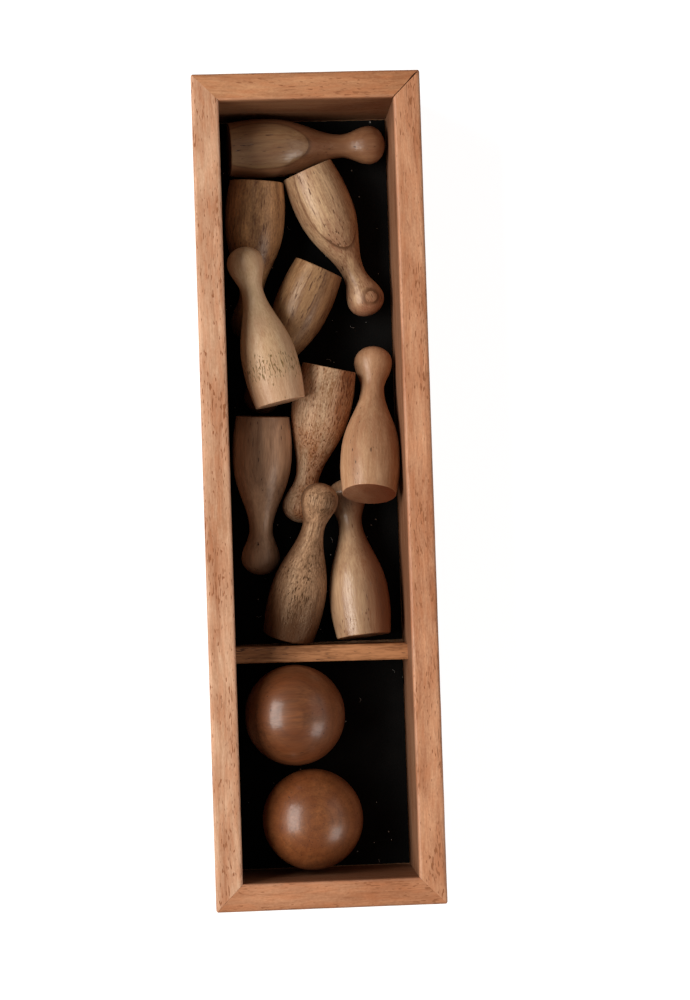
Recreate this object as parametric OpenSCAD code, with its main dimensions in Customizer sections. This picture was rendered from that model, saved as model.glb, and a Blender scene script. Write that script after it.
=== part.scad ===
// Table bowling game: an open wooden box with a felt floor, ten turned pins and two balls.
// The origin is the middle of the underside. X runs across the box, Y along it towards the
// pins, and Z up. All sizes are in millimetres.

/* [Box] */
// Thickness of the four mitred rails
rail_t = 10; // [8:0.1:12]
// Height of the rails
rail_h = 51; // [46:0.5:60]
// Rounding along the edges of the rails
rail_round = 0.8; // [0.3:0.1:1.5]
// Rounding of the box's four upright corners
corner_round = 1.2; // [0.5:0.1:2.5]
// Thickness of the bottom panel
panel_t = 4; // [3:0.1:6]
// Height of the panel's underside above the rails' underside
panel_rise = 3; // [2:0.1:5]
// Depth of the groove that holds the panel
groove_deep = 3; // [2:0.1:5]
// Thickness of the felt
felt_t = 1.5; // [1:0.1:2.5]
// Gap between the felt's edge and the wood round it
felt_gap = 0.4; // [0.1:0.1:0.8]
// Clearance of the panel and the divider in their grooves
groove_fit = 0.1; // [0.05:0.05:0.3]

/* [Divider] */
// Thickness of the divider
divider_t = 6.1; // [4:0.1:8]
// Height of the divider's top above the felt
divider_up = 21; // [15:0.5:30]
// Depth of its housings in the side rails
housing_deep = 2; // [1:0.1:4]
// Rounding along the edges of the divider
divider_round = 0.5; // [0.2:0.1:1]
// Angle by which the hand-fitted divider stands out of square
divider_skew = 0.5; // [0:0.1:0.8]

/* [Pins] */
// Length of a pin
pin_len = 60; // [52:0.5:70]
// Diameter of a pin's belly
pin_belly_d = 22.4; // [20:0.1:26]
// How much narrower than the belly the foot is, on each side
foot_draw = 1.1; // [0.5:0.1:2]
// Easing of the foot's sharp edge
foot_ease = 0.4; // [0.2:0.1:0.8]
// Diameter of a pin's neck
pin_neck_d = 8.8; // [7:0.1:10.5]
// Diameter of a pin's head
pin_head_d = 14.5; // [13:0.1:16]
// Height of the belly's widest place above the foot
belly_at = 12; // [9:0.5:15]
// Distance from the head's widest place down to the neck
neck_down = 10.8; // [9:0.1:13]
// Distance from the head's widest place up to its top
head_cap = 6.2; // [5:0.1:8]
// How late the shoulder falls to the neck, where 1 is an even curve
shoulder_late = 1.33; // [1:0.01:1.5]

/* [Balls] */
// Diameter of a ball
ball_d = 37.5; // [32:0.5:42]

/* [Room] */
// Room in the box's width beyond a pin that lies across it
pin_room = 4.3; // [3:0.1:8]
// Room between the last pins and the divider
foot_room = 1.1; // [0.5:0.1:4]
// Room in the ball bay's length beyond two balls in a row
ball_room = 4; // [3:0.1:10]
// Gap between a loose piece and what it lies on
seat_gap = 0.3; // [0.1:0.1:0.5]
// Upright gap between a pin and a pin that lies over it
stack_gap = 0.6; // [0.4:0.1:1]

/* [Hidden] */

head_at = pin_len - head_cap;
neck_at = head_at - neck_down;
foot_d = pin_belly_d - 2 * foot_draw;

// Three bellies side by side tuck into each other's necks, so they need a little less than 3
bellies_across = 2.87;
bay_w = max(pin_len + pin_room, bellies_across * pin_belly_d);
// One pin lies across the head end, and three rows of pins fill the rest
rows_down = 2.96;
pin_bay_l = pin_belly_d + rows_down * pin_len + foot_room;
ball_bay_l = 2 * ball_d + ball_room;
inner_l = pin_bay_l + divider_t + ball_bay_l;
box_w = bay_w + 2 * rail_t;
box_l = inner_l + 2 * rail_t;
head_wall = inner_l / 2;
foot_wall = -inner_l / 2;
divider_y = foot_wall + ball_bay_l + divider_t / 2;

panel_top = panel_rise + panel_t;
felt_top = panel_top + felt_t;
divider_top = felt_top + divider_up;
past = 1;

// Where each pin lies. across: its foot's place, as a share of half the bay's width.
// rows: its foot's distance from the belly of the pin at the head wall, in pin lengths.
// turn: the way its head points. lean: how far its head points up, or undef where it lies
// on the felt on its belly and head. girth: how stout this pin came off the lathe.
// over: the pins that it lies on.
ACROSS = 0;
ROWS = 1;
TURN = 2;
LEAN = 3;
GIRTH = 4;
OVER = 5;
PINS = [
    [-0.897, -0.156,    1.6, undef, 1,    []],
    [-0.581,  0.049,  -94.5, undef, 1,    []],
    [ 0.021, -0.017,  -66.9, undef, 0.98, []],
    [-0.39,   1.466,  102.4, 0,     0.94, [1, 4, 5]],
    [ 0.126,  0.602, -115.7, undef, 0.94, []],
    [ 0.209,  1.236, -103.0, undef, 1,    []],
    [ 0.606,  2.050,   85.2, -19.6, 1,    [9]],
    [-0.594,  1.533,  -92.5, undef, 1,    []],
    [-0.373,  2.922,   75.6, 11.8,  0.95, [5, 9]],
    [ 0.513,  2.934,   94.9, undef, 1.01, []]];

// Where each ball lies, as a share of the room it has to roll sideways
BALL_ACROSS = [-0.8, -0.39];
// Ball 1's gap to the divider and ball 2's to the foot rail, as shares of the bay's spare length
BALL_GAPS = [0.24, 0.39];

// Radius of a pin at height s above its foot
function pin_r(s) =
    s < foot_ease ? foot_d / 2 - foot_ease + sqrt(max(0, foot_ease^2 - (foot_ease - s)^2))
    : s < belly_at ? foot_d / 2 + foot_draw * sin(90 * (s - foot_ease) / (belly_at - foot_ease))
    : s < neck_at ? blend(pin_belly_d, pin_neck_d, ((s - belly_at) / (neck_at - belly_at))^shoulder_late) / 2
    : s < head_at ? blend(pin_neck_d, pin_head_d, (s - neck_at) / (head_at - neck_at)) / 2
    : pin_head_d / 2 * sqrt(max(0, 1 - ((s - head_at) / head_cap)^2));

// An S-curve from a to b while t runs from 0 to 1
function blend(a, b, t) = (a + b) / 2 + (a - b) / 2 * cos(180 * t);

// Heights at which a pin's outline has its points
STATIONS = concat(
    [for (i = [0:3]) foot_ease * (1 - cos(30 * i))],
    [for (i = [1:5]) foot_ease + (belly_at - foot_ease) * i / 5],
    [for (i = [1:14]) belly_at + (neck_at - belly_at) * i / 14],
    [for (i = [1:8]) neck_at + (head_at - neck_at) * i / 8],
    [for (i = [1:8]) head_at + head_cap * sin(90 * i / 8)]);

// The lean at which a pin rests on its belly and its head
function rest_lean(girth) = -asin((girth * (pin_belly_d - pin_head_d) / 2) / (head_at - belly_at));
function lean_of(p) = is_undef(p[LEAN]) ? rest_lean(p[GIRTH]) : p[LEAN];

// The foot's centre in plan
function plan_of(p) = [p[ACROSS] * bay_w / 2, head_wall - pin_belly_d - p[ROWS] * pin_len];

// Directions along a pin and square to it, with side level
function along_of(p) = [cos(p[TURN]) * cos(lean_of(p)), sin(p[TURN]) * cos(lean_of(p)), sin(lean_of(p))];
function side_of(p) = [-sin(p[TURN]), cos(p[TURN]), 0];
function up_of(p) = cross(along_of(p), side_of(p));

// A point of a pin's skin, counted from its foot's centre
function skin(p, s, a) =
    s * along_of(p) + p[GIRTH] * pin_r(s) * (cos(a) * side_of(p) + sin(a) * up_of(p));

// Height of the foot's centre of a pin that lies on the felt
function felt_seat(p) = felt_top + seat_gap + max([for (s = STATIONS) -skin(p, s, -90)[2]]);

// Height of a low pin's upper side over the plan point q, or 0 beside it
function cover(p, q) =
    let (d = q - plan_of(p),
         s = (d * [cos(p[TURN]), sin(p[TURN])]) / cos(lean_of(p)),
         off = d * [-sin(p[TURN]), cos(p[TURN])],
         r = s < 0 || s > pin_len ? 0 : p[GIRTH] * pin_r(s))
    abs(off) < r ? felt_seat(p) + s * sin(lean_of(p)) + sqrt(r^2 - off^2) / cos(lean_of(p)) : 0;

// Height of the foot's centre of any pin, which settles on the felt or on the pins below it
UNDERSIDE = [for (a = [-170:20:-10]) a];
function seat_of(p) = max(concat([felt_seat(p)],
    [for (k = p[OVER], s = STATIONS, a = UNDERSIDE)
        let (v = skin(p, s, a), top = cover(PINS[k], plan_of(p) + [v[0], v[1]]))
        top > 0 ? top + stack_gap - v[2] : 0]));

module rounded_rect(w, h, r) {
    square([w - 2 * r, h], center = true);
    square([w, h - 2 * r], center = true);
    for (x = [-1, 1], y = [-1, 1])
        translate([x * (w / 2 - r), y * (h / 2 - r)]) circle(r, $fn = 32);
}

// The stock of a rail, running along X and standing on the ground
module rail_stock(len) {
    rotate([90, 0, 90]) linear_extrude(len, center = true)
        translate([0, rail_h / 2]) rounded_rect(rail_t, rail_h, rail_round);
}

module frame_outline() {
    linear_extrude(rail_h) rounded_rect(box_w, box_l, corner_round);
}

// The room of the bottom panel in the rails' grooves
module panel_groove() {
    translate([0, 0, panel_rise + (panel_t + groove_fit) / 2])
        cube([bay_w + 2 * groove_deep, inner_l + 2 * groove_deep, panel_t + groove_fit], center = true);
}

// The divider's shape, grown by a clearance where it is cut from the side rails
module divider_shape(grow) {
    height = divider_top - panel_top + grow;
    width = bay_w + 2 * (housing_deep - groove_fit + grow);
    translate([0, divider_y, panel_top + height / 2]) rotate([0, 0, -divider_skew])
        rotate([90, 0, 90]) linear_extrude(width, center = true)
            rounded_rect(divider_t + 2 * grow, height, divider_round);
}

// A side rail: s is -1 for the left and 1 for the right
module side_rail(s) {
    outer = box_w / 2 + past;
    inner = bay_w / 2 - past;
    end = box_l / 2 + past;
    reach = outer - inner;
    difference() {
        intersection() {
            translate([s * (box_w - rail_t) / 2, 0, 0]) rotate([0, 0, 90]) rail_stock(box_l + past);
            frame_outline();
            linear_extrude(rail_h) polygon([
                [s * outer, -end],
                [s * outer, end],
                [s * inner, end - reach],
                [s * inner, reach - end]]);
        }
        panel_groove();
        divider_shape(groove_fit);
    }
}

// An end rail: s is 1 for the head end and -1 for the foot end
module end_rail(s) {
    outer = box_l / 2 + past;
    inner = inner_l / 2 - past;
    end = box_w / 2 + past;
    reach = outer - inner;
    difference() {
        intersection() {
            translate([0, s * (box_l - rail_t) / 2, 0]) rail_stock(box_w + past);
            frame_outline();
            linear_extrude(rail_h) polygon([
                [-end, s * outer],
                [end, s * outer],
                [end - reach, s * inner],
                [reach - end, s * inner]]);
        }
        panel_groove();
    }
}

// A sheet of felt on the bottom panel between two heights along the box
module felt_sheet(low, high) {
    translate([-bay_w / 2 + felt_gap, low + felt_gap, panel_top])
        cube([bay_w - 2 * felt_gap, high - low - 2 * felt_gap, felt_t]);
}

module turned_pin(girth) {
    rotate_extrude($fn = 64) polygon(concat(
        [[0, 0]],
        [for (s = STATIONS) [s < pin_len ? girth * pin_r(s) : 0, s]]));
}

module rail_left() {
    color("#cf9f78") side_rail(-1);
}

module rail_right() {
    color("#c58c66") side_rail(1);
}

module rail_head() {
    color("#c48a64") end_rail(1);
}

module rail_foot() {
    color("#c48a64") end_rail(-1);
}

module bottom_panel() {
    side = groove_deep - groove_fit;
    color("#b48a60") translate([0, 0, panel_rise + panel_t / 2])
        cube([bay_w + 2 * side, inner_l + 2 * side, panel_t], center = true);
}

module felt_pins() {
    skew_room = bay_w / 2 * tan(divider_skew);
    color("#0b0b0d") felt_sheet(divider_y + divider_t / 2 + skew_room, head_wall);
}

module felt_balls() {
    skew_room = bay_w / 2 * tan(divider_skew);
    color("#0b0b0d") felt_sheet(foot_wall, divider_y - divider_t / 2 - skew_room);
}

module divider() {
    color("#8d5a3b") divider_shape(0);
}

// Tones of the turned wood, from pale to dark
PIN_TONES = ["#8f6a4a", "#7f5c40", "#b08860", "#b89670", "#9a7450",
             "#946a4c", "#b58860", "#6e5240", "#94704c", "#b88e68"];

module pin(i) {
    p = PINS[i - 1];
    color(PIN_TONES[i - 1]) translate([plan_of(p)[0], plan_of(p)[1], seat_of(p)])
        rotate([0, 90 - lean_of(p), p[TURN]]) turned_pin(p[GIRTH]);
}

// Ball 1 lies by the divider and ball 2 by the foot rail
module ball(i) {
    roll = (bay_w - ball_d) / 2;
    y1 = foot_wall + ball_bay_l - ball_room * BALL_GAPS[0] - ball_d / 2;
    y2 = foot_wall + ball_room * BALL_GAPS[1] + ball_d / 2;
    color("#5c3022") translate([BALL_ACROSS[i - 1] * roll, i == 1 ? y1 : y2, felt_top + seat_gap + ball_d / 2])
        sphere(d = ball_d, $fn = 96);
}

rail_left();
rail_right();
rail_head();
rail_foot();
bottom_panel();
felt_pins();
felt_balls();
divider();
for (i = [1:10]) pin(i);
for (i = [1:2]) ball(i);
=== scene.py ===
import math

import bmesh
import bpy
from mathutils import Matrix, Vector, noise


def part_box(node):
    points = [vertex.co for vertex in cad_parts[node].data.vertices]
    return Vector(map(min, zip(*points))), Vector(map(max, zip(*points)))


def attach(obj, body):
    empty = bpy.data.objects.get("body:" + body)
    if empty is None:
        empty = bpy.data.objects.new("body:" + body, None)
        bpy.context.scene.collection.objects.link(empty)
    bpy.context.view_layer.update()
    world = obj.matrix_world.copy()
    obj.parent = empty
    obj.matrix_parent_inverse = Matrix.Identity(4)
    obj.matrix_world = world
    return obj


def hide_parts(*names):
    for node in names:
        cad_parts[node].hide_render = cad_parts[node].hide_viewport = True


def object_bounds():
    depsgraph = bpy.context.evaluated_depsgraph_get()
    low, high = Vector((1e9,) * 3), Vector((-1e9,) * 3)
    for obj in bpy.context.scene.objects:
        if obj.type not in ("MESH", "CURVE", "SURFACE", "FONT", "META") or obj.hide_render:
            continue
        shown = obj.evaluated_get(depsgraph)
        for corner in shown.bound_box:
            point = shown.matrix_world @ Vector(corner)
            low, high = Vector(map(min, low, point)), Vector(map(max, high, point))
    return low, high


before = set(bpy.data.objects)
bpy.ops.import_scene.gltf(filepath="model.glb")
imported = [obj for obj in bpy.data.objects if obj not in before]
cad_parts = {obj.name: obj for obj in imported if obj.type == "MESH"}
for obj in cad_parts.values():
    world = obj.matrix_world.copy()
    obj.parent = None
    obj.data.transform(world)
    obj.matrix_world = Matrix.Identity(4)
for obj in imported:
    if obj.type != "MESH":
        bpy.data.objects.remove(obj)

cad_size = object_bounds()
MM = 0.001


# The table under the box: a smooth, seamless sheet of white background paper.
# To the camera and in reflections it is plain white; the box still shades it a little.

def linear(hex_colour):
    """An sRGB hex colour as the linear colour that Blender's sockets take."""
    parts = [int(hex_colour[i:i + 2], 16) / 255 for i in (1, 3, 5)]
    return [v / 12.92 if v <= 0.04045 else ((v + 0.055) / 1.055) ** 2.4 for v in parts] + [1.0]


def add(tree, kind, feeds=None, **settings):
    """Adds a node with its settings. feeds gives each input a value, an output, or a node's first output.

    An input goes by its name, or by its number where names repeat. A Map Range turns the span from 1 to 2
    into the span from 3 to 4, and a Mix blends colour 6 into colour 7."""
    node = tree.nodes.new(kind)
    for key, value in settings.items():
        setattr(node, key, value)
    for key, value in (feeds or {}).items():
        if isinstance(value, bpy.types.Node):
            value = value.outputs[0]
        if isinstance(value, bpy.types.NodeSocket):
            tree.links.new(value, node.inputs[key])
        else:
            node.inputs[key].default_value = value
    return node


def new_material(name):
    """An empty material and its node tree."""
    material = bpy.data.materials.new(name)
    material.use_nodes = True
    material.node_tree.nodes.clear()
    return material, material.node_tree


def new_piece(name, mesh):
    """An object at the origin that holds the mesh."""
    piece = bpy.data.objects.new(name, mesh)
    bpy.context.scene.collection.objects.link(piece)
    return piece


def white_paper():
    """Matt white background paper: it reads as plain white, and only the box's shadow shows on it."""
    material, tree = new_material("Matt white background paper")
    paper = add(tree, "ShaderNodeBsdfDiffuse", {"Color": linear("#a8a8a8")})
    glow = add(tree, "ShaderNodeEmission", {"Color": linear("#ffffff"), "Strength": 0.88})
    seen = add(tree, "ShaderNodeAddShader", {0: paper, 1: glow})
    plain = add(tree, "ShaderNodeBsdfDiffuse", {"Color": linear("#bdbdbd")})
    path = add(tree, "ShaderNodeLightPath")
    viewed = add(tree, "ShaderNodeMath", {0: path.outputs["Is Camera Ray"], 1: path.outputs["Is Glossy Ray"]},
                 operation="MAXIMUM")
    mix = add(tree, "ShaderNodeMixShader", {0: viewed, 1: plain, 2: seen})
    add(tree, "ShaderNodeOutputMaterial", {"Surface": mix})
    return material


# In metres
TABLE_HALF = 3.0
table_mesh = bpy.data.meshes.new("table")
table_mesh.from_pydata([(x * TABLE_HALF, y * TABLE_HALF, 0) for x, y in ((-1, -1), (1, -1), (1, 1), (-1, 1))],
                       [], [(0, 1, 2, 3)])
table = new_piece("table", table_mesh)
table.data.materials.append(white_paper())


# Camera and studio light: the camera looks almost straight down into the box.
# A tall soft box stands to the left, a smaller one low to the right, and a wide reflector fills in.

lens = bpy.data.cameras.new("camera")
lens.lens = 86.4
lens.sensor_width = 36
lens.clip_start = 0.05
camera = bpy.data.objects.new("camera", lens)
camera.location = (-0.0366, -0.0325, 0.9263)
camera.rotation_euler = [math.radians(a) for a in (1.91, -2.95, -1.88)]
bpy.context.scene.collection.objects.link(camera)
bpy.context.scene.camera = camera


TRAY_MIDDLE = Vector((0, 0, 0.03))


def soft_box(name, place, width, height, watts):
    """A rectangular soft box that points at the middle of the tray, with its height along Y."""
    light = bpy.data.lights.new(name, "AREA")
    light.shape = "RECTANGLE"
    light.size = width
    light.size_y = height
    light.energy = watts
    lamp = bpy.data.objects.new(name, light)
    bpy.context.scene.collection.objects.link(lamp)
    lamp.location = place
    back = (Vector(place) - TRAY_MIDDLE).normalized()
    across = Vector((0, 1, 0)).cross(back).normalized()
    lamp.rotation_euler = Matrix((across, back.cross(across), back)).transposed().to_euler()
    return lamp


soft_box("left soft box", (-0.92, 0.05, 0.88), 0.66, 1.3, 19.0)
soft_box("right soft box", (0.75, -0.6, 0.55), 0.42, 0.5, 2.8)
soft_box("right reflector", (1.25, 0.1, 0.75), 1.3, 2.0, 4.0)

world = bpy.data.worlds.new("studio")
bpy.context.scene.world = world
world.use_nodes = True
world.node_tree.nodes.clear()
room = add(world.node_tree, "ShaderNodeBackground", {"Color": linear("#ffffff"), "Strength": 0.1})
add(world.node_tree, "ShaderNodeOutputWorld", {"Surface": room})
bpy.context.scene.view_settings.view_transform = "Standard"


# The four rails: planed hardwood, 10 mm thick, glued in mitres round the bottom panel.
# Their edges are eased by hand and pale with wear, and the pale also paints the highlight on the inner
# arris. Inside, below the rim, shade is painted into their colour.

# In millimetres, and the groove's sides as heights from the table
RAIL_T = 10.0
RAIL_H = 51.0
EDGE_EASE = 0.9
CORNER_EASE = 1.2
GROOVE_LOW, GROOVE_HIGH, GROOVE_DEEP = 3.0, 7.1, 3.0
# How far hand-eased edges and planed faces waver
EDGE_WAVE, FACE_WAVE = 0.12, 0.01
# An open joint is widest in its top layer, where it has lost a splinter at some depth from the outer face
JOINT_TOP = 2.0
SPLINTER_AT, SPLINTER_REACH, SPLINTER_GAPS = 2.4, 0.9, 4.0
# Shade is painted on the inner faces from this far below the rim, and is full after so much more
SHADE_BELOW, SHADE_FADE = 0.4, 2.0


def hardwood(name, place, axes, pale, dark, pore, red="#a8623f", red_share=0.3, ring=6.0, phase=0.0,
             ring_tone=0.2, ring_line=0.0, wander=3.0, streak=0.5, pores=0.4, pore_wide=0.3, pore_long=2.5,
             pore_band=None, blotch=0.2, mottle=0.1, fleck=0.0, rough=0.45, coat=0.15, coat_rough=0.3,
             glint="#ffeedd", relief=0.06, ends=0.0, ends_tone="#5f3a22", stains_and_shade=(), marked=False):
    """Hardwood cut or turned from a block, with growth rings round a pith, and fibres and pores along it.

    place is the pith's place, and axes are the block's three directions, the last along the grain. Lengths
    are in millimetres. ring_line, streak, pores, blotch, mottle and fleck say how much each mark shows.
    Real fibres and pores are finer: here they are drawn as coarse as they need to show. A pore_band is the
    two heights between which alone the pores lie open. ends is how much darker the cut ends of the fibres
    are, and where it is high this is also painted shade; glint is the highlight's tint. Each staining
    entry turns the wood red: a share at one radius or height, which falls to nothing at another. Some
    entries are real staining and some are painted shade. A marked piece's mesh carries three attributes:
    the pale of wear on its edges, which also paints the highlight on an arris; handled; and the shade
    painted on its inner faces and outer top edges."""
    material, tree = new_material(name)
    at = add(tree, "ShaderNodeTexCoord")
    turn = Matrix(axes).transposed().to_euler()
    block = add(tree, "ShaderNodeMapping", {"Vector": at.outputs["Object"], "Location": place,
                                            "Rotation": turn, "Scale": (MM, MM, MM)}, vector_type="TEXTURE")
    # The fibres wander by a few millimetres on their way up the tree, in waves 17 mm wide and 55 mm long
    slow = add(tree, "ShaderNodeVectorMath", {0: block, 1: (1 / 17, 1 / 17, 1 / 55)}, operation="MULTIPLY")
    lean = add(tree, "ShaderNodeTexNoise", {"Vector": slow, "Scale": 1.0, "Detail": 1.5})
    middle = add(tree, "ShaderNodeVectorMath", {0: lean.outputs["Color"], 1: (0.5, 0.5, 0.5)},
                 operation="SUBTRACT")
    drift = add(tree, "ShaderNodeVectorMath", {0: middle, 1: (wander, wander, 0)}, operation="MULTIPLY")
    grain = add(tree, "ShaderNodeVectorMath", {0: block, 1: drift}, operation="ADD")
    heights = add(tree, "ShaderNodeSeparateXYZ", {0: grain})
    # Growth rings: the distance from the pith counted in rings, pale early wood to dark late wood
    flat = add(tree, "ShaderNodeVectorMath", {0: grain, 1: (1, 1, 0)}, operation="MULTIPLY")
    radius = add(tree, "ShaderNodeVectorMath", {0: flat}, operation="LENGTH")
    count = add(tree, "ShaderNodeMath", {0: radius.outputs["Value"], 1: 1 / ring, 2: phase},
                operation="MULTIPLY_ADD")
    in_ring = add(tree, "ShaderNodeMath", {0: count}, operation="FRACT")
    late = add(tree, "ShaderNodeValToRGB", {"Fac": in_ring})
    stops = late.color_ramp.elements
    for stop, (position, grey) in zip(stops, ((0.0, 0.85), (1.0, 0.85))):
        stop.position = position
        stop.color = (grey, grey, grey, 1)
    for position, grey in ((0.07, 0.15), (0.45, 0.25), (0.85, 0.7)):
        stops.new(position).color = (grey, grey, grey, 1)
    # Bands, fibres and soft patches, each with its width and its length along the grain in millimetres
    texture = {}
    for label, wide, long, detail in (("band", 2.4, 34, 2), ("fibre", 0.7, 8, 3), ("hair", 0.36, 3, 2),
                                      ("patch", 6.5, 24, 1.5), ("mottle", 1.6, 8, 2), ("fleck", 0.6, 1.1, 1)):
        cell = add(tree, "ShaderNodeVectorMath", {0: grain, 1: (1 / wide, 1 / wide, 1 / long)},
                   operation="MULTIPLY")
        texture[label] = add(tree, "ShaderNodeTexNoise", {"Vector": cell, "Scale": 1.0, "Detail": detail})
    # A dark line at the end of each ring, which fades here and there
    whole = add(tree, "ShaderNodeMapRange", {"Value": texture["patch"], 1: 0.35, 2: 0.6, 3: 0.3 * ring_line,
                                             4: ring_line})
    line = add(tree, "ShaderNodeMapRange", {"Value": in_ring, 1: 0.9, 2: 0.99, 3: 0.0, 4: whole},
               interpolation_type="SMOOTHSTEP")
    # Pores: vessels that the plane or the gouge has laid open, most of them in the early wood
    across, along = 0.6 / pore_wide, 0.5 / pore_long
    cell = add(tree, "ShaderNodeVectorMath", {0: grain, 1: (across, across, along)}, operation="MULTIPLY")
    vessel = add(tree, "ShaderNodeTexNoise", {"Vector": cell, "Scale": 1.0, "Detail": 0.6})
    # The noise is a pore where it passes a limit, which is lower where more of them are cut open
    in_early, in_late = 0.79 - 0.2 * pores, 0.8 - 0.14 * pores
    bare = add(tree, "ShaderNodeMapRange", {"Value": in_ring, 1: 0.15, 2: 0.8, 3: in_early, 4: in_late})
    crowding = 0.08
    if pore_band:
        # The cut crosses a band of early wood only between two heights
        half_band = (pore_band[1] - pore_band[0]) / 2
        away = add(tree, "ShaderNodeMath", {0: heights.outputs["Z"], 1: -sum(pore_band) / 2}, operation="ADD")
        away = add(tree, "ShaderNodeMath", {0: away}, operation="ABSOLUTE")
        bare = add(tree, "ShaderNodeMapRange", {"Value": away, 1: 1.0, 2: half_band + 1, 3: in_early,
                                                4: 0.78})
        crowding = 0.0
    crowd = add(tree, "ShaderNodeMapRange", {"Value": texture["patch"], 1: 0.35, 2: 0.65, 3: crowding,
                                             4: -crowding})
    limit = add(tree, "ShaderNodeMath", {0: bare, 1: crowd}, operation="ADD")
    inside = add(tree, "ShaderNodeMath", {0: vessel, 1: limit}, operation="SUBTRACT")
    hole = add(tree, "ShaderNodeMapRange", {"Value": inside, 1: 0.0, 2: 0.05, 3: 0.0, 4: 1.0})
    # Colour: rings, bands and fibres between the pale and the dark tone, then red patches and dark pores
    tone = add(tree, "ShaderNodeMath", {0: late.outputs["Color"], 1: ring_tone, 2: 0.45 - 0.45 * ring_tone},
               operation="MULTIPLY_ADD")
    for label, share in (("band", 0.55 * streak), ("fibre", 0.6 * streak), ("hair", 0.35 * streak),
                         ("fleck", fleck)):
        swing = add(tree, "ShaderNodeMapRange", {"Value": texture[label], 1: 0.3, 2: 0.7, 3: -share,
                                                 4: share})
        tone = add(tree, "ShaderNodeMath", {0: tone, 1: swing}, operation="ADD")
    if marked:
        handled = add(tree, "ShaderNodeAttribute", attribute_name="handled")
        tone = add(tree, "ShaderNodeMath", {0: handled.outputs["Fac"], 1: 0.3, 2: tone},
                   operation="MULTIPLY_ADD")
    wood = add(tree, "ShaderNodeMix", {"Factor": tone, 6: linear(pale), 7: linear(dark)}, data_type="RGBA")
    ruddy = add(tree, "ShaderNodeMapRange", {"Value": texture["patch"], 1: 0.4, 2: 0.7, 3: 0.0, 4: red_share})
    dapple = add(tree, "ShaderNodeMapRange", {"Value": texture["mottle"], 1: 0.42, 2: 0.66, 3: 0.0,
                                              4: mottle})
    ruddy = add(tree, "ShaderNodeMath", {0: ruddy, 1: dapple}, operation="ADD")
    for kind, start, end, share in stains_and_shade:
        place_of = heights.outputs["Z"] if kind == "height" else radius.outputs["Value"]
        tinge = add(tree, "ShaderNodeMapRange", {"Value": place_of, 1: start, 2: end, 3: share, 4: 0.0},
                    interpolation_type="SMOOTHSTEP")
        ruddy = add(tree, "ShaderNodeMath", {0: ruddy, 1: tinge}, operation="MAXIMUM")
    wood = add(tree, "ShaderNodeMix", {"Factor": ruddy, 6: wood.outputs[2], 7: linear(red)}, data_type="RGBA")
    shade = add(tree, "ShaderNodeMapRange", {"Value": texture["patch"], 1: 0.3, 2: 0.7, 3: 1 + blotch / 2,
                                             4: 1 - blotch / 2})
    wood = add(tree, "ShaderNodeVectorMath", {0: wood.outputs[2], 3: shade}, operation="SCALE")
    lined = add(tree, "ShaderNodeMix", {"Factor": line, 6: wood, 7: linear(pore)}, data_type="RGBA")
    pored = add(tree, "ShaderNodeMix", {"Factor": hole, 6: lined.outputs[2], 7: linear(pore)},
                data_type="RGBA")
    colour = pored.outputs[2]
    if ends:
        # The cut ends of the fibres soak up more oil, so they are darker. Where ends is high, as on pin 7's
        # foot, the darkening is also painted shade.
        facing = add(tree, "ShaderNodeMapping", {"Vector": at.outputs["Normal"], "Rotation": turn},
                     vector_type="TEXTURE")
        axis = add(tree, "ShaderNodeSeparateXYZ", {0: facing})
        straight = add(tree, "ShaderNodeMath", {0: axis.outputs["Z"]}, operation="ABSOLUTE")
        flush = add(tree, "ShaderNodeMapRange", {"Value": straight, 1: 0.7, 2: 0.98, 3: 0.0, 4: ends})
        late_share = add(tree, "ShaderNodeMath", {0: late.outputs["Color"], 1: 0.8, 2: 0.4},
                     operation="MULTIPLY_ADD")
        end_dark = add(tree, "ShaderNodeMath", {0: flush, 1: late_share}, operation="MULTIPLY")
        colour = add(tree, "ShaderNodeMix", {"Factor": end_dark, 6: colour, 7: linear(ends_tone)},
                     data_type="RGBA").outputs[2]
    if marked:
        # Edges lose their oil with rubbing and turn pale, which also paints the arris's highlight, and
        # painted shade takes up to half of the light
        wear_and_highlight = add(tree, "ShaderNodeAttribute", attribute_name="wear_and_highlight")
        rubbed_and_lit = add(tree, "ShaderNodeMath", {0: wear_and_highlight.outputs["Fac"], 1: 0.25}, operation="MULTIPLY")
        light = add(tree, "ShaderNodeMix", {"Factor": rubbed_and_lit, 6: colour, 7: linear("#e0b298")},
                    data_type="RGBA")
        painted_shade = add(tree, "ShaderNodeAttribute", attribute_name="painted_shade")
        shade_scale = add(tree, "ShaderNodeMath", {0: painted_shade.outputs["Fac"], 1: -0.52, 2: 1.0},
                   operation="MULTIPLY_ADD")
        colour = add(tree, "ShaderNodeVectorMath", {0: light.outputs[2], 3: shade_scale},
                     operation="SCALE").outputs[0]
    # Relief: open pores, and fibres that stand a few hundredths of a millimetre proud
    ridge = add(tree, "ShaderNodeMath", {0: texture["fibre"], 1: texture["hair"]}, operation="ADD")
    ridge = add(tree, "ShaderNodeMath", {0: texture["fleck"], 1: 2 * fleck, 2: ridge},
                operation="MULTIPLY_ADD")
    height = add(tree, "ShaderNodeMath", {0: hole, 1: -0.8, 2: ridge}, operation="MULTIPLY_ADD")
    bump = add(tree, "ShaderNodeBump", {"Height": height, "Strength": 1.0, "Distance": relief * MM})
    dull = add(tree, "ShaderNodeMapRange", {"Value": texture["fibre"], 1: 0.3, 2: 0.7, 3: rough - 0.08,
                                            4: rough + 0.08})
    duller = add(tree, "ShaderNodeMath", {0: hole, 1: 0.25, 2: dull}, operation="MULTIPLY_ADD")
    shader = add(tree, "ShaderNodeBsdfPrincipled", {
        "Base Color": colour, "Roughness": duller, "Normal": bump, "IOR": 1.5, "Specular Tint": linear(glint),
        "Coat Weight": coat, "Coat Roughness": coat_rough, "Coat Normal": bump})
    add(tree, "ShaderNodeOutputMaterial", {"Surface": shader})
    return material


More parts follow.
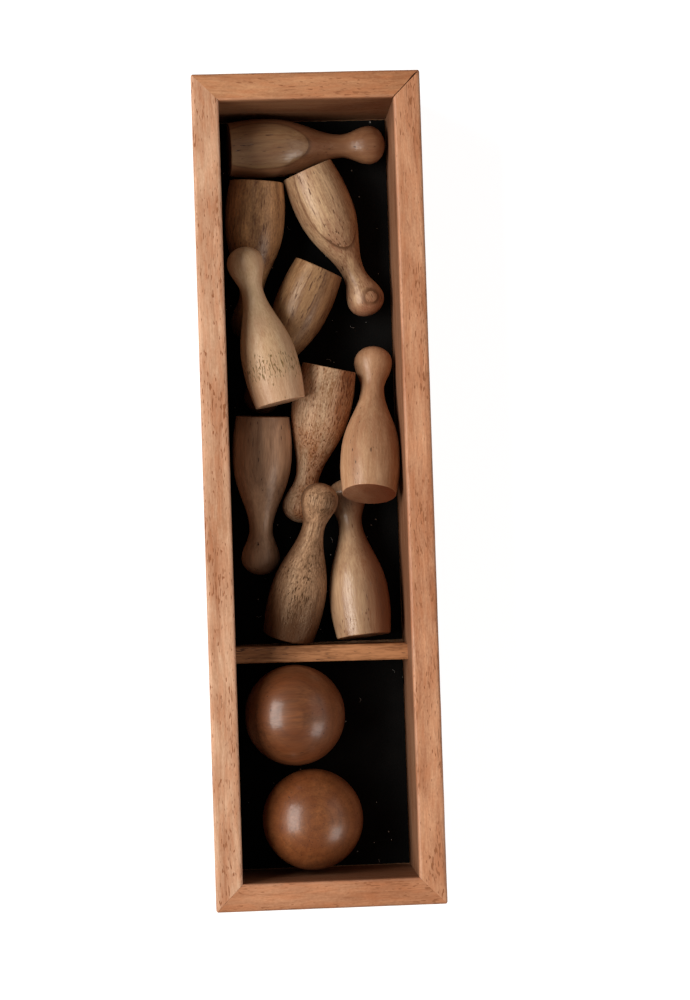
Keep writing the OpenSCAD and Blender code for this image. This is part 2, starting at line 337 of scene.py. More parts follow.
def rail_section():
    """The rail's outline, depth from its outer face and height: rounded edges and the panel's groove."""
    ease = EDGE_EASE
    corners = {}
    for label, depth, z, start in (
            ("inner low", RAIL_T - ease, ease, 270), ("inner high", RAIL_T - ease, RAIL_H - ease, 0),
            ("outer high", ease, RAIL_H - ease, 90), ("outer low", ease, ease, 180)):
        angles = [math.radians(start + a) for a in range(0, 91, 15)]
        corners[label] = [(depth + ease * math.cos(angle), z + ease * math.sin(angle)) for angle in angles]
    groove = [(RAIL_T, GROOVE_LOW), (RAIL_T - GROOVE_DEEP, GROOVE_LOW),
              (RAIL_T - GROOVE_DEEP, GROOVE_HIGH), (RAIL_T, GROOVE_HIGH)]
    inner_face = [(RAIL_T, z) for z in (9, 12, 18, 24, 30, 36, 42, 47)]
    top = [(RAIL_T * (1 - i / 6), RAIL_H) for i in range(1, 6)]
    outer_face = [(0.0, z) for z in range(48, 5, -6)]
    under = [(RAIL_T * i / 4, 0.0) for i in (1, 2, 3)]
    return (corners["inner low"] + groove + inner_face + corners["inner high"] + top
            + corners["outer high"] + outer_face + corners["outer low"] + under)


def finished(mesh, name):
    """A mesh of its own from a bmesh, with every face smooth."""
    for face in mesh.faces:
        face.smooth = True
    data = bpy.data.meshes.new(name)
    mesh.to_mesh(data)
    mesh.free()
    return data


def mitred_rail(name, half_long, seed, joint_gaps, edge_shade, held):
    """A rail along X, its outer face at y = 0 and its inner face at y = -RAIL_T, mitred at both ends.

    joint_gaps is how far each end stands back from its joint in millimetres. The next argument is how much
    shade is painted on its outer top edge, and held is the middle and the reach of the stretch that hands
    have darkened. The mesh is in metres."""
    section = rail_section()
    # The cuts across the rail stand at these distances from its ends, in millimetres, and evenly between
    steps = [0.0, 0.06, 0.15, 0.3, 0.5, 0.7, 0.9, 1.1, 1.3, 1.7, 2.3]
    cuts = 60
    places = ([(-1, step) for step in steps] + [(0, t / cuts) for t in range(1, cuts)]
              + [(1, step) for step in reversed(steps)])
    mesh = bmesh.new()
    wear_and_highlight = mesh.verts.layers.float.new("wear_and_highlight")
    painted_shade = mesh.verts.layers.float.new("painted_shade")
    handled = mesh.verts.layers.float.new("handled")
    rings = []
    for end, place in places:
        ring = []
        for depth, z in section:
            opening = 0.5
            if z > RAIL_H - JOINT_TOP:
                opening = 1 + SPLINTER_GAPS * math.exp(-((depth - SPLINTER_AT) / SPLINTER_REACH) ** 2)
            low_reach = -(half_long - depth - joint_gaps[0] * opening)
            high_reach = half_long - depth - joint_gaps[1] * opening
            if end:
                x = low_reach + place if end < 0 else high_reach - place
            else:
                x = low_reach + steps[-1] + (high_reach - low_reach - 2 * steps[-1]) * place
            on_side = min(depth, RAIL_T - depth) < EDGE_EASE
            on_edge = on_side and min(z, RAIL_H - z) < EDGE_EASE
            # The waver is about 11 mm long, and each rail has its own
            wave = 0.5 + 0.5 * noise.noise(Vector((x * 0.09, depth * 0.4 + seed * 7.3, z * 0.06)))
            inward = Vector((0, -1 if depth < RAIL_T / 2 else 1, -1 if z > RAIL_H / 2 else 1))
            point = Vector((x, -depth, z)) + inward * wave * (EDGE_WAVE if on_edge else FACE_WAVE)
            # The edge of an open joint is knocked down a little
            if end and place < 0.1 and z > RAIL_H / 2:
                point.z -= 0.5 * joint_gaps[0 if end < 0 else 1]
            # The box's upright corners are rounded over both rails
            out = Vector((abs(point.x) - (half_long - CORNER_EASE), point.y + CORNER_EASE))
            if out.x > 0 and out.y > 0 and out.length > CORNER_EASE:
                out *= CORNER_EASE / out.length
                point.x = math.copysign(half_long - CORNER_EASE + out.x, point.x)
                point.y = out.y - CORNER_EASE
            vert = mesh.verts.new(point * MM)
            # Rubbing has turned the inner edges pale, most of all where they have lost the most, and the pale
            # also paints the highlight on the arris
            vert[wear_and_highlight] = max(0.0, wave * 1.4 - 0.2) if on_edge and depth > RAIL_T / 2 else 0.0
            vert[handled] = math.exp(-((x - held[0]) / held[1]) ** 2)
            # Shade is painted on the inner face below its top edge, and on the outer top edge
            on_inner_face = depth > RAIL_T - 0.2
            if on_inner_face and z > GROOVE_HIGH:
                vert[painted_shade] = min(1.0, max(0.0, (RAIL_H - SHADE_BELOW - z) / SHADE_FADE))
            elif on_edge and z > RAIL_H / 2 and depth < RAIL_T / 2:
                vert[painted_shade] = edge_shade * wave * (1 - depth / EDGE_EASE)
            ring.append(vert)
        rings.append(ring)
    around = len(section)
    for a, b in zip(rings, rings[1:]):
        for i in range(around):
            j = (i + 1) % around
            mesh.faces.new((a[i], a[j], b[j], b[i]))
    mesh.faces.new(list(reversed(rings[0])))
    mesh.faces.new(rings[-1])
    bmesh.ops.triangulate(mesh, faces=[f for f in mesh.faces if len(f.verts) > 4])
    bmesh.ops.recalc_face_normals(mesh, faces=mesh.faces)
    return finished(mesh, name)


HALF_W = cad_size[1][0] / MM
HALF_L = cad_size[1][1] / MM
ALONG_Y = ((1, 0, 0), (0, 0, -1), (0, 1, 0))
ALONG_X = ((0, 1, 0), (0, 0, 1), (1, 0, 0))
# For each rail: half its length, its turn about Z in degrees and the middle of its outer face, then its
# wood's grain, tones and pith (in metres), the gaps at its two joints, how much shade is painted on its
# outer top edge, and the middle and reach of the stretch that hands have darkened
RAILS = {
    "rail_head": dict(half_long=HALF_W, turn=0, middle=(0, HALF_L), grain=ALONG_X, pale="#cd9469",
                      dark="#9a603b", pith=(0.0, 0.180, -0.01), gaps=(0.0, 0.17), edge_shade=1.0, held=(35, 12)),
    "rail_foot": dict(half_long=HALF_W, turn=180, middle=(0, -HALF_L), grain=ALONG_X, pale="#cc926b",
                      dark="#985f3c", pith=(0.01, -0.185, -0.015), gaps=(0.0, 0.03), edge_shade=1.2,
                      held=(-20, 15)),
    "rail_left": dict(half_long=HALF_L, turn=90, middle=(-HALF_W, 0), grain=ALONG_Y, pale="#e0b28f",
                      dark="#b27d5a", pith=(-0.075, 0.0, -0.02), gaps=(0.03, 0.0), edge_shade=0.3, held=(-13, 22)),
    "rail_right": dict(half_long=HALF_L, turn=-90, middle=(HALF_W, 0), grain=ALONG_Y, pale="#dea57d",
                       dark="#a46846", pith=(0.080, 0.0, -0.02), gaps=(0.17, 0.0), edge_shade=1.1, held=(32, 38))}
for number, (node_name, facts) in enumerate(RAILS.items()):
    rail_mesh = mitred_rail(node_name + "_timber", facts["half_long"], number, facts["gaps"], facts["edge_shade"],
                            facts["held"])
    across, along = facts["middle"]
    rail_mesh.transform(Matrix.Translation((across * MM, along * MM, 0))
                        @ Matrix.Rotation(math.radians(facts["turn"]), 4, "Z"))
    rail = new_piece(node_name + "_timber", rail_mesh)
    rail_mesh.set_sharp_from_angle(angle=math.radians(40))
    # Oiled, not varnished: a dull sheen, with short dark pores and pale streaks along the grain
    rail_mesh.materials.append(hardwood(
        f"Oiled mahogany, planed, {node_name}", facts["pith"], facts["grain"], facts["pale"], facts["dark"],
        "#9b5f3a", red="#d27d4c", red_share=0.35, ring=4.5, ring_tone=0.25, ring_line=0.3, wander=7.0,
        streak=0.38 if node_name == "rail_left" else 0.3, pores=0.74, pore_wide=0.28, pore_long=1.3,
        blotch=0.3, mottle=0.2, fleck=0.12, rough=0.55, coat=0.05, relief=0.05, ends=0.2, marked=True))
    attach(rail, "box")
    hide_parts(node_name)


# The bottom panel: a thin board of the same timber, loose in the rails' grooves under the felt.
# It is planed but not oiled, and shows only from underneath.

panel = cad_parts["bottom_panel"]
panel.data.materials.clear()
# Bare planed wood: dry and matt, with no sheen
panel.data.materials.append(hardwood(
    "Planed mahogany, unfinished", (0.02, 0, -0.06), ALONG_Y, "#cfa57f", "#9c7049", "#6a4a30", ring=4.0,
    ring_tone=0.35, wander=5.0, pores=0.5, rough=0.7, coat=0.0))


# The divider: a thin strip across the box, let into shallow housings in the side rails.
# It is darker and closer grained than the rails, with its top edge eased.

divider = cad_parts["divider"]
divider.data.materials.clear()
# Oiled like the rails: a dull sheen, in a darker and streakier wood
divider.data.materials.append(hardwood(
    "Oiled mahogany strip, planed", (0, -0.03, 0.05), ALONG_X, "#c08356", "#83522e", "#5f3b25", ring=2.5,
    red="#94582f", ring_tone=0.25, streak=0.8, pores=0.65, pore_wide=0.28, pore_long=1.4, rough=0.5,
    coat=0.05))


# Felt: two pieces of thin black wool felt, laid loose on the bottom panel.
# It swallows the light; a soft nap and stray pale lint are all that shows.

def wool_felt():
    """Black wool felt: matt, with a faint nap that catches light at the edges.

    The nap is drawn far coarser than wool's fibres, so that it shows."""
    material, tree = new_material("Black wool felt")
    at = add(tree, "ShaderNodeTexCoord")
    nap = add(tree, "ShaderNodeTexNoise", {"Vector": at.outputs["Object"], "Scale": 1 / (0.6 * MM),
                                           "Detail": 4.0})
    clump = add(tree, "ShaderNodeTexNoise", {"Vector": at.outputs["Object"], "Scale": 1 / (9 * MM),
                                             "Detail": 2.0})
    tone = add(tree, "ShaderNodeMath", {0: nap, 1: clump}, operation="MULTIPLY")
    colour = add(tree, "ShaderNodeMix", {"Factor": tone, 6: linear("#0a0a09"), 7: linear("#201f1d")},
                 data_type="RGBA")
    bump = add(tree, "ShaderNodeBump", {"Height": nap, "Strength": 1.0, "Distance": 0.15 * MM})
    shader = add(tree, "ShaderNodeBsdfPrincipled", {
        "Base Color": colour.outputs[2], "Roughness": 1.0, "Normal": bump,
        "Specular IOR Level": 0.15, "Sheen Weight": 0.02, "Sheen Roughness": 0.5})
    add(tree, "ShaderNodeOutputMaterial", {"Surface": shader})
    return material


def pale_lint():
    """Fluff and hairs of pale cotton, a little grey with dust: matt, so they show only as pale specks."""
    material, tree = new_material("Pale cotton lint")
    at = add(tree, "ShaderNodeTexCoord")
    dust = add(tree, "ShaderNodeTexNoise", {"Vector": at.outputs["Object"], "Scale": 1 / (20 * MM)})
    colour = add(tree, "ShaderNodeMix", {"Factor": dust, 6: linear("#8d8880"), 7: linear("#ded8cc")},
                 data_type="RGBA")
    shader = add(tree, "ShaderNodeBsdfPrincipled", {"Base Color": colour.outputs[2], "Roughness": 0.9})
    add(tree, "ShaderNodeOutputMaterial", {"Surface": shader})
    return material


def grown(name, tree, inputs, base=None):
    """Runs a Geometry Nodes tree on a base mesh and keeps the result as a plain mesh."""
    blank = new_piece(name + "_blank", base or bpy.data.meshes.new(name + "_blank"))
    modifier = blank.modifiers.new("shape", "NODES")
    modifier.node_group = tree
    for item in tree.interface.items_tree:
        if item.item_type == "SOCKET" and item.in_out == "INPUT" and item.name in inputs:
            modifier[item.identifier] = inputs[item.name]
    bpy.context.view_layer.update()
    evaluated = blank.evaluated_get(bpy.context.evaluated_depsgraph_get())
    mesh = bpy.data.meshes.new_from_object(evaluated)
    mesh.name = name
    bpy.data.objects.remove(blank)
    return new_piece(name, mesh)


def lint_tree():
    """Geometry Nodes that drop curled hairs and specks of fluff on the top of a cloth.

    Densities are per square metre and sizes in millimetres. The hairs are thicker than real ones, to show."""
    tree = bpy.data.node_groups.new("Stray lint", "GeometryNodeTree")
    face = tree.interface
    face.new_socket("Geometry", in_out="INPUT", socket_type="NodeSocketGeometry")
    for label, kind, value in (("Hairs", "Float", 2400.0), ("Hair Length", "Float", 1.6),
                               ("Hair Thickness", "Float", 0.09), ("Specks", "Float", 6500.0),
                               ("Speck Size", "Float", 0.55), ("Seed", "Int", 1)):
        face.new_socket(label, in_out="INPUT", socket_type="NodeSocket" + kind).default_value = value
    face.new_socket("Lint", in_out="INPUT", socket_type="NodeSocketMaterial")
    face.new_socket("Geometry", in_out="OUTPUT", socket_type="NodeSocketGeometry")
    given = add(tree, "NodeGroupInput").outputs
    normal = add(tree, "GeometryNodeInputNormal")
    upright = add(tree, "ShaderNodeSeparateXYZ", {0: normal})
    is_top = add(tree, "FunctionNodeCompare", {0: upright.outputs["Z"], 1: 0.7}, operation="GREATER_THAN")
    spots = add(tree, "GeometryNodeDistributePointsOnFaces", {
        "Mesh": given["Geometry"], "Selection": is_top, "Density": given["Hairs"], "Seed": given["Seed"]})
    # A hair is a shallow arc of unit length; each one is scaled, turned and laid down
    arc = add(tree, "GeometryNodeCurveQuadraticBezier", {
        "Resolution": 5, "Start": (-0.5, 0, 0), "Middle": (0.05, 0.45, 0), "End": (0.5, 0.05, 0)})
    thin = add(tree, "GeometryNodeCurvePrimitiveCircle", {"Resolution": 4, "Radius": 0.5})
    hair = add(tree, "GeometryNodeCurveToMesh", {
        "Curve": arc, "Profile Curve": thin, "Fill Caps": True,
        "Scale": add(tree, "ShaderNodeMath", {0: given["Hair Thickness"], 1: given["Hair Length"]},
                     operation="DIVIDE")})
    turned = add(tree, "FunctionNodeRandomValue", {"Min": (0, 0, 0), "Max": (0, 0, 2 * math.pi), "Seed": 3},
                 data_type="FLOAT_VECTOR")
    grow = add(tree, "FunctionNodeRandomValue", {2: 0.15, 3: 1.3, "Seed": 5}, data_type="FLOAT")
    size = add(tree, "ShaderNodeMath", {0: grow.outputs[1], 1: given["Hair Length"]}, operation="MULTIPLY")
    metres = add(tree, "ShaderNodeMath", {0: size, 1: MM}, operation="MULTIPLY")
    laid = add(tree, "GeometryNodeInstanceOnPoints", {
        "Points": spots, "Instance": hair, "Rotation": turned, "Scale": metres})
    # Specks of fluff are flat grains, rolled up by the pins and balls
    crumbs = add(tree, "GeometryNodeDistributePointsOnFaces", {
        "Mesh": given["Geometry"], "Selection": is_top, "Density": given["Specks"],
        "Seed": add(tree, "ShaderNodeMath", {0: given["Seed"], 1: 10.0}, operation="ADD")})
    grain = add(tree, "GeometryNodeMeshIcoSphere", {"Radius": 0.5, "Subdivisions": 2})
    roll = add(tree, "FunctionNodeRandomValue", {2: 0.4, 3: 1.3, "Seed": 7}, data_type="FLOAT")
    wide = add(tree, "ShaderNodeMath", {0: roll.outputs[1], 1: given["Speck Size"]}, operation="MULTIPLY")
    flat = add(tree, "ShaderNodeCombineXYZ", {
        "X": add(tree, "ShaderNodeMath", {0: wide, 1: MM}, operation="MULTIPLY"),
        "Y": add(tree, "ShaderNodeMath", {0: wide, 1: 0.7 * MM}, operation="MULTIPLY"),
        "Z": add(tree, "ShaderNodeMath", {0: wide, 1: 0.5 * MM}, operation="MULTIPLY")})
    strewn = add(tree, "GeometryNodeInstanceOnPoints", {
        "Points": crumbs, "Instance": grain, "Rotation": turned, "Scale": flat})
    both = add(tree, "GeometryNodeJoinGeometry")
    for part in (laid, strewn):
        tree.links.new(part.outputs[0], both.inputs[0])
    real = add(tree, "GeometryNodeRealizeInstances", {"Geometry": both})
    pale = add(tree, "GeometryNodeSetMaterial", {"Geometry": real, "Material": given["Lint"]})
    add(tree, "NodeGroupOutput", {"Geometry": pale})
    return tree


# In millimetres: how far the felt's surface rolls, and how far its cut edge sinks
FELT_ROLL, FELT_SOFT_EDGE = 0.12, 0.35


def felt_slab(name, low, high):
    """A cut piece of felt with soft edges and a surface that rolls by a tenth of a millimetre."""
    cell = 2 * MM
    across = round((high.x - low.x) / cell)
    along = round((high.y - low.y) / cell)
    mesh = bmesh.new()
    top, under = [], []
    for grid, is_top in ((top, True), (under, False)):
        for i in range(across + 1):
            row = []
            for j in range(along + 1):
                x = low.x + (high.x - low.x) * i / across
                y = low.y + (high.y - low.y) * j / along
                rim = i in (0, across) or j in (0, along)
                roll = FELT_ROLL * (0.5 + 0.5 * noise.noise(Vector((x * 60, y * 60, 3.7))))
                roll += FELT_SOFT_EDGE if rim else 0
                row.append(mesh.verts.new((x, y, high.z - roll * MM if is_top else low.z)))
            grid.append(row)
        for i in range(across):
            for j in range(along):
                mesh.faces.new((grid[i][j], grid[i + 1][j], grid[i + 1][j + 1], grid[i][j + 1]))
    edge = ([(i, 0) for i in range(across)] + [(across, j) for j in range(along)]
            + [(i, along) for i in range(across, 0, -1)] + [(0, j) for j in range(along, 0, -1)])
    for (i, j), (next_i, next_j) in zip(edge, edge[1:] + edge[:1]):
        mesh.faces.new((top[i][j], top[next_i][next_j], under[next_i][next_j], under[i][j]))
    bmesh.ops.recalc_face_normals(mesh, faces=mesh.faces)
    data = finished(mesh, name)
    data.set_sharp_from_angle(angle=math.radians(60))
    return data


felt_finish = wool_felt()
lint_finish = pale_lint()
stray_lint = lint_tree()
for number, node_name in enumerate(("felt_pins", "felt_balls"), start=1):
    low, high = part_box(node_name)
    felt_mesh = felt_slab(node_name + "_cloth", low, high)
    felt = new_piece(node_name + "_cloth", felt_mesh)
    lint = grown(node_name + "_lint", stray_lint, {"Seed": number, "Lint": lint_finish}, felt_mesh.copy())
    felt_mesh.materials.append(felt_finish)
    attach(felt, "box")
    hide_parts(node_name)
    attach(lint, "box")


# The pins: turned between centres from small squares of mixed hardwood, with the grain lengthwise.
# Sanded on the lathe and sealed with a thin satin lacquer; no two blanks are the same tone.

# In millimetres
PIN_FOOT_D = 20.2
PIN_FOOT_EASE = 0.4
# Each blank is taken this much further along the grain, so that no two show the same wood
BLANK_APART = 90


def turned_pin_tree():
    """Geometry Nodes that turn a pin: a line becomes rings, each with the outline's radius at its height.

    The sizes it is given are in millimetres, apart from the foot's centre, which is in metres."""
    tree = bpy.data.node_groups.new("Turned pin", "GeometryNodeTree")
    face = tree.interface
    for label, value in (
            ("Foot Ease", PIN_FOOT_EASE), ("Belly Height", 12.0), ("Neck Height", 43.0),
            ("Head Height", 53.8), ("Length", 60.0), ("Sole Diameter", PIN_FOOT_D - 2 * PIN_FOOT_EASE),
            ("Foot Diameter", PIN_FOOT_D), ("Belly Diameter", 22.4), ("Neck Diameter", 8.8),
            ("Head Diameter", 14.5), ("Top Diameter", 0.0), ("Shoulder", 1.33), ("Girth", 1.0)):
        face.new_socket(label, in_out="INPUT", socket_type="NodeSocketFloat").default_value = value
    face.new_socket("Rings", in_out="INPUT", socket_type="NodeSocketInt").default_value = 130
    face.new_socket("Sides", in_out="INPUT", socket_type="NodeSocketInt").default_value = 96
    face.new_socket("Foot Centre", in_out="INPUT", socket_type="NodeSocketVector")
    face.new_socket("Lie", in_out="INPUT", socket_type="NodeSocketRotation")
    face.new_socket("Wood", in_out="INPUT", socket_type="NodeSocketMaterial")
    face.new_socket("Geometry", in_out="OUTPUT", socket_type="NodeSocketGeometry")
    given = add(tree, "NodeGroupInput").outputs
    line = add(tree, "GeometryNodeCurvePrimitiveLine", {"End": (0, 0, 1)})
    rings = add(tree, "GeometryNodeResampleCurve", {"Curve": line, "Count": given["Rings"]})
    # Rings stand closer together towards the foot's edge and the top of the head
    order = add(tree, "GeometryNodeSplineParameter")
    half_turn = add(tree, "ShaderNodeMath", {0: order, 1: math.pi}, operation="MULTIPLY")
    height = add(tree, "ShaderNodeMath", {0: half_turn}, operation="COSINE")
    height = add(tree, "ShaderNodeMath", {0: height, 1: -0.5, 2: 0.5}, operation="MULTIPLY_ADD")
    height = add(tree, "ShaderNodeMath", {0: height, 1: given["Length"]}, operation="MULTIPLY")
    # Each stretch of the outline takes the diameter from one size to the next, with its own easing.
    # An easing is a row of operations on the share of the stretch so far, which stands where None is.
    round_in = [("SUBTRACT", 1.0, None), ("POWER", None, 2.0), ("SUBTRACT", 1.0, None), ("SQRT", None, 0.0)]
    swell = [("MULTIPLY", None, math.pi / 2), ("SINE", None, 0.0)]
    s_curve = [("MULTIPLY", None, math.pi), ("COSINE", None, 0.0), ("MULTIPLY", None, -0.5),
               ("ADD", None, 0.5)]
    late_s_curve = [("POWER", None, given["Shoulder"])] + s_curve
    round_out = [("POWER", None, 2.0), ("SUBTRACT", 1.0, None), ("SQRT", None, 0.0), ("SUBTRACT", 1.0, None)]
    stretches = [("Sole", "Foot", None, "Foot Ease", round_in),
                 ("Foot", "Belly", "Foot Ease", "Belly Height", swell),
                 ("Belly", "Neck", "Belly Height", "Neck Height", late_s_curve),
                 ("Neck", "Head", "Neck Height", "Head Height", s_curve),
                 ("Head", "Top", "Head Height", "Length", round_out)]
    wide = given["Sole Diameter"]
    for start, end, low, high, easing in stretches:
        share = add(tree, "ShaderNodeMapRange", {"Value": height, 1: given[low] if low else 0.0,
                                                 2: given[high]})
        for operation, first, second in easing:
            share = add(tree, "ShaderNodeMath", {0: share if first is None else first,
                                                 1: share if second is None else second}, operation=operation)
        gain = add(tree, "ShaderNodeMath", {0: given[end + " Diameter"], 1: given[start + " Diameter"]},
                   operation="SUBTRACT")
        wide = add(tree, "ShaderNodeMath", {0: gain, 1: share, 2: wide}, operation="MULTIPLY_ADD")
    thick = add(tree, "ShaderNodeMath", {0: wide, 1: given["Girth"]}, operation="MULTIPLY")
    radius = add(tree, "ShaderNodeMath", {0: thick, 1: MM / 2}, operation="MULTIPLY")
    # The radius is kept on the curve before the rings move, because it is worked out from their order
    kept = add(tree, "GeometryNodeSetCurveRadius", {"Curve": rings, "Radius": radius})
    rise = add(tree, "ShaderNodeMath", {0: height, 1: MM}, operation="MULTIPLY")
    moved = add(tree, "GeometryNodeSetPosition", {
        "Geometry": kept, "Position": add(tree, "ShaderNodeCombineXYZ", {"Z": rise})})
    circle = add(tree, "GeometryNodeCurvePrimitiveCircle", {"Resolution": given["Sides"], "Radius": 1.0})
    body = add(tree, "GeometryNodeCurveToMesh", {
        "Curve": moved, "Profile Curve": circle, "Fill Caps": True,
        "Scale": add(tree, "GeometryNodeInputRadius")})
    closed = add(tree, "GeometryNodeMergeByDistance", {"Geometry": body, "Distance": 0.002 * MM})
    laid = add(tree, "GeometryNodeTransform", {
        "Geometry": closed, "Translation": given["Foot Centre"], "Rotation": given["Lie"]})
    smooth = add(tree, "GeometryNodeSetShadeSmooth", {"Geometry": laid})
    real = add(tree, "GeometryNodeRealizeInstances", {"Geometry": smooth})
    wood = add(tree, "GeometryNodeSetMaterial", {"Geometry": real, "Material": given["Wood"]})
    add(tree, "NodeGroupOutput", {"Geometry": wood})
    return tree


def lie_of(node_name):
    """Where a CAD pin lies: its foot's centre, its three directions (the last along it), and its girth.

    The foot is the pin's largest flat face."""
    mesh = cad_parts[node_name].data
    faces = {}
    for face in mesh.polygons:
        key = tuple(round(v, 3) for v in face.normal)
        faces.setdefault(key, []).append(face)
    foot = max(faces.values(), key=lambda group: sum(f.area for f in group))
    area = sum(f.area for f in foot)
    centre = sum((f.center * f.area for f in foot), Vector()) / area
    along = -sum((f.normal * f.area for f in foot), Vector()).normalized()
    side = Vector((0, 0, 1)).cross(along).normalized()
    wide = max((mesh.vertices[i].co - centre).length for f in foot for i in f.vertices)
    girth = wide / ((PIN_FOOT_D / 2 - PIN_FOOT_EASE) * MM)
    return centre, (side, along.cross(side), along), girth


pin_tree = turned_pin_tree()
# For each pin: its blank's pale and dark tones, where the pith lay from the pin's middle (across and
# up, in mm), the ring width, how far rings, lines and pores show, and its staining and painted shade,
# by radius or by the height from the foot
PIN_WOODS = [
    dict(pale="#ae8961", dark="#6c4a30", pith=(1.5, -32), ring=8.0, phase=0.97, wander=1.0, ring_line=0.75,
         ring_tone=0.45, red="#8f5539", pores=0.12, streak=0.35, stains_and_shade=[("radius", 39.9, 40.5, 0.5)],
         coat=0.8, coat_rough=0.18),
    # Pin 2: the radius entry darkens one flank almost to black, partly as painted shade; the height entry
    # darkens its head, as painted shade
    dict(pale="#d7a06c", dark="#764a30", pith=(-24, -14), ring=9.0, ring_tone=0.4, pores=0.45,
         pore="#5c3520", streak=0.36, red="#3a1d0c", red_share=0.4, fleck=0.2,
         stains_and_shade=[("radius", 17, 25, 0.9), ("height", 58, 42, 0.85)]),
    dict(pale="#d3ae84", dark="#895e40", pith=(-7.8, -29), ring=8.0, phase=0.4, wander=1.0, ring_line=1.1,
         ring_tone=0.3, pores=0.6, pore="#6f4a31", pore_wide=0.32, pore_long=2.6, streak=0.45, fleck=0.15,
         red="#a36348", red_share=0.4, stains_and_shade=[("height", 58, 48, 0.6)]),
    dict(pale="#dab991", dark="#af8359", pith=(-6, -26), ring=9.0, phase=0.89, wander=1.0, ring_tone=0.2,
         pores=1.15, pore="#85673c", pore_wide=0.26, pore_long=0.9, pore_band=(5, 21), streak=0.3,
         fleck=0.12, relief=0.12, rough=0.42, red="#c98f72", stains_and_shade=[("height", 4, 17, 0.35)]),
    # Pin 5: the height entry darkens its head almost to black, as painted shade
    dict(pale="#be9266", dark="#744a2c", pith=(28, 6), ring=5.0, ring_tone=0.35, pores=0.5, pore="#5f3b25",
         pore_wide=0.26, pore_long=1.8, streak=0.4, fleck=0.12, red="#4a2816", red_share=0.1,
         stains_and_shade=[("height", 56, 40, 0.9)]),
    dict(pale="#d0aa87", dark="#875d3b", pith=(18, -14), ring=30.0, phase=0.4, ring_tone=0.2, pores=0.9,
         pore="#7a4628", pore_wide=0.24, pore_long=1.2, streak=0.42, fleck=0.3, red="#bd6a34",
         red_share=0.5, relief=0.12, rough=0.38, glint="#ffdfb6"),
    # Pin 7: its foot's end grain is darkened far more than on the other pins, partly as painted shade
    dict(pale="#d0a47e", dark="#a1744f", pith=(30, -10), ring=24.0, phase=0.225, ring_tone=0.2, pores=0.12,
         pore_long=1.2, streak=0.3, mottle=0.2, fleck=0.12, red="#a4613e", red_share=0.3,
         stains_and_shade=[("height", 60, 44, 0.3)], ends=0.95, ends_tone="#7a3a20"),
    # Pin 8: the first height entry darkens its head, as painted shade
    dict(pale="#daa983", dark="#6f4a31", pith=(-22, -6), ring=9.0, phase=0.6, ring_tone=0.3, pores=0.15,
         streak=0.22, red="#5f3c2a", stains_and_shade=[("height", 61, 46, 0.65), ("height", -1, 9, 0.4)]),
    # Pin 9: both entries darken it, towards the foot and along one flank, as painted shade
    dict(pale="#bc916d", dark="#65452d", pith=(12, -20), ring=6.0, ring_tone=0.3, pores=0.82,
         pore="#4e301b", pore_wide=0.27, pore_long=1.1, streak=0.42, fleck=0.22, red="#4a2610",
         red_share=0.15, relief=0.14, rough=0.34, coat=0.0, glint="#ffdcb4",
         stains_and_shade=[("height", 5, 28, 0.88), ("radius", 20, 28, 0.75)]),
    dict(pale="#cda881", dark="#885a3a", pith=(-26, 4), ring=9.0, phase=0.3, ring_tone=0.3, pores=0.42,
         pore="#7a5238", pore_wide=0.26, pore_long=1.4, streak=0.28, red="#834b2f",
         stains_and_shade=[("radius", 19, 29, 0.8)], coat=0.4, coat_rough=0.2)]
for number, wood in enumerate(PIN_WOODS, start=1):
    node_name = f"pin_{number}"
    foot, axes, girth = lie_of(node_name)
    pith = wood.pop("pith")
    shift = BLANK_APART * number
    place = foot + MM * (pith[0] * axes[0] + pith[1] * axes[1] - shift * axes[2])
    # The satin lacquer gives a broad, soft highlight that the open grain breaks up
    looks = dict(blotch=0.2, rough=0.35, coat=0.1, red_share=0.25, ends=0.3, relief=0.07, pore="#432818")
    looks.update(wood)
    looks["stains_and_shade"] = []
    for kind, start, end, share in wood.get("stains_and_shade", ()):
        lift = shift if kind == "height" else 0
        looks["stains_and_shade"].append((kind, start + lift, end + lift, share))
    if "pore_band" in wood:
        looks["pore_band"] = [height + shift for height in wood["pore_band"]]
    finish = hardwood(f"Lacquered hardwood, turned, {node_name}", place, axes, **looks)
    lie = Matrix(axes).transposed().to_euler()
    pin = grown(node_name + "_turned", pin_tree,
                {"Girth": girth, "Foot Centre": foot, "Lie": lie, "Wood": finish})
    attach(pin, node_name)
    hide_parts(node_name)


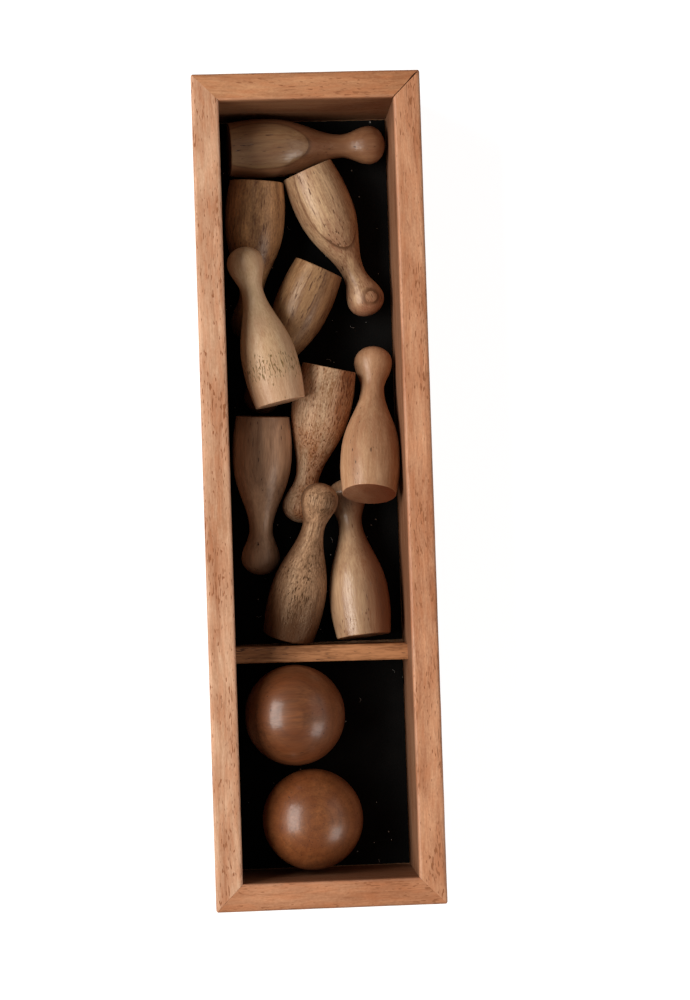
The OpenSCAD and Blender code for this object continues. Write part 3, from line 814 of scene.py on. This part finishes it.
# The balls: turned from a dark, dense hardwood and polished to a soft gloss.
# The grain of one lies across the box; the other shows its end grain on top.

# In millimetres
LATHE_WAVER = 0.02


def turned_ball(name, centre, radius, seed):
    """A ball from a divided cube, so that its faces are even, with the lathe's last hundredth of waver."""
    mesh = bmesh.new()
    bmesh.ops.create_cube(mesh, size=1.0)
    bmesh.ops.subdivide_edges(mesh, edges=mesh.edges, cuts=40, use_grid_fill=True)
    for vert in mesh.verts:
        # Cube cells are bent so that they come out near equal on the ball
        bent = Vector([math.tan(c * math.pi / 2) for c in vert.co]).normalized()
        waver = LATHE_WAVER * MM * (0.5 + 0.5 * noise.noise(bent * 2 + Vector((seed, 0, 0))))
        vert.co = centre + bent * (radius - waver)
    return finished(mesh, name)


# For each ball: its tones, the grain's direction, a direction to measure from, and the pith's place in mm
BALL_WOODS = [
    dict(pale="#7f4c2c", dark="#4d2915", grain=(1, 0.05, 0.1), up=(0, 0, 1), pith=(0.0, 30.0)),
    dict(pale="#8f552e", dark="#592f16", grain=(0.15, 0.1, 1), up=(0, 1, 0), pith=(2.0, 1.0))]
for number, wood in enumerate(BALL_WOODS, start=1):
    node_name = f"ball_{number}"
    low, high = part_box(node_name)
    centre = (low + high) / 2
    along = Vector(wood["grain"]).normalized()
    side = along.cross(Vector(wood["up"])).normalized()
    axes = (side, along.cross(side), along)
    place = centre + MM * (wood["pith"][0] * axes[0] + wood["pith"][1] * axes[1])
    ball_mesh = turned_ball(node_name + "_turned", centre, (high.x - low.x) / 2, number)
    ball = new_piece(node_name + "_turned", ball_mesh)
    # Polished hard: a clear, soft-edged highlight on close, even grain
    ball_mesh.materials.append(hardwood(
        f"Polished rosewood, turned, {node_name}", place, axes, wood["pale"], wood["dark"], "#2f190e",
        red="#85431f", red_share=0.4, ring=3.2, ring_line=0.15, ring_tone=0.25, wander=1.5, streak=0.35,
        pores=0.12, blotch=0.3, rough=0.42, coat=0.42, coat_rough=0.2, relief=0.02))
    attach(ball, node_name)
    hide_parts(node_name)
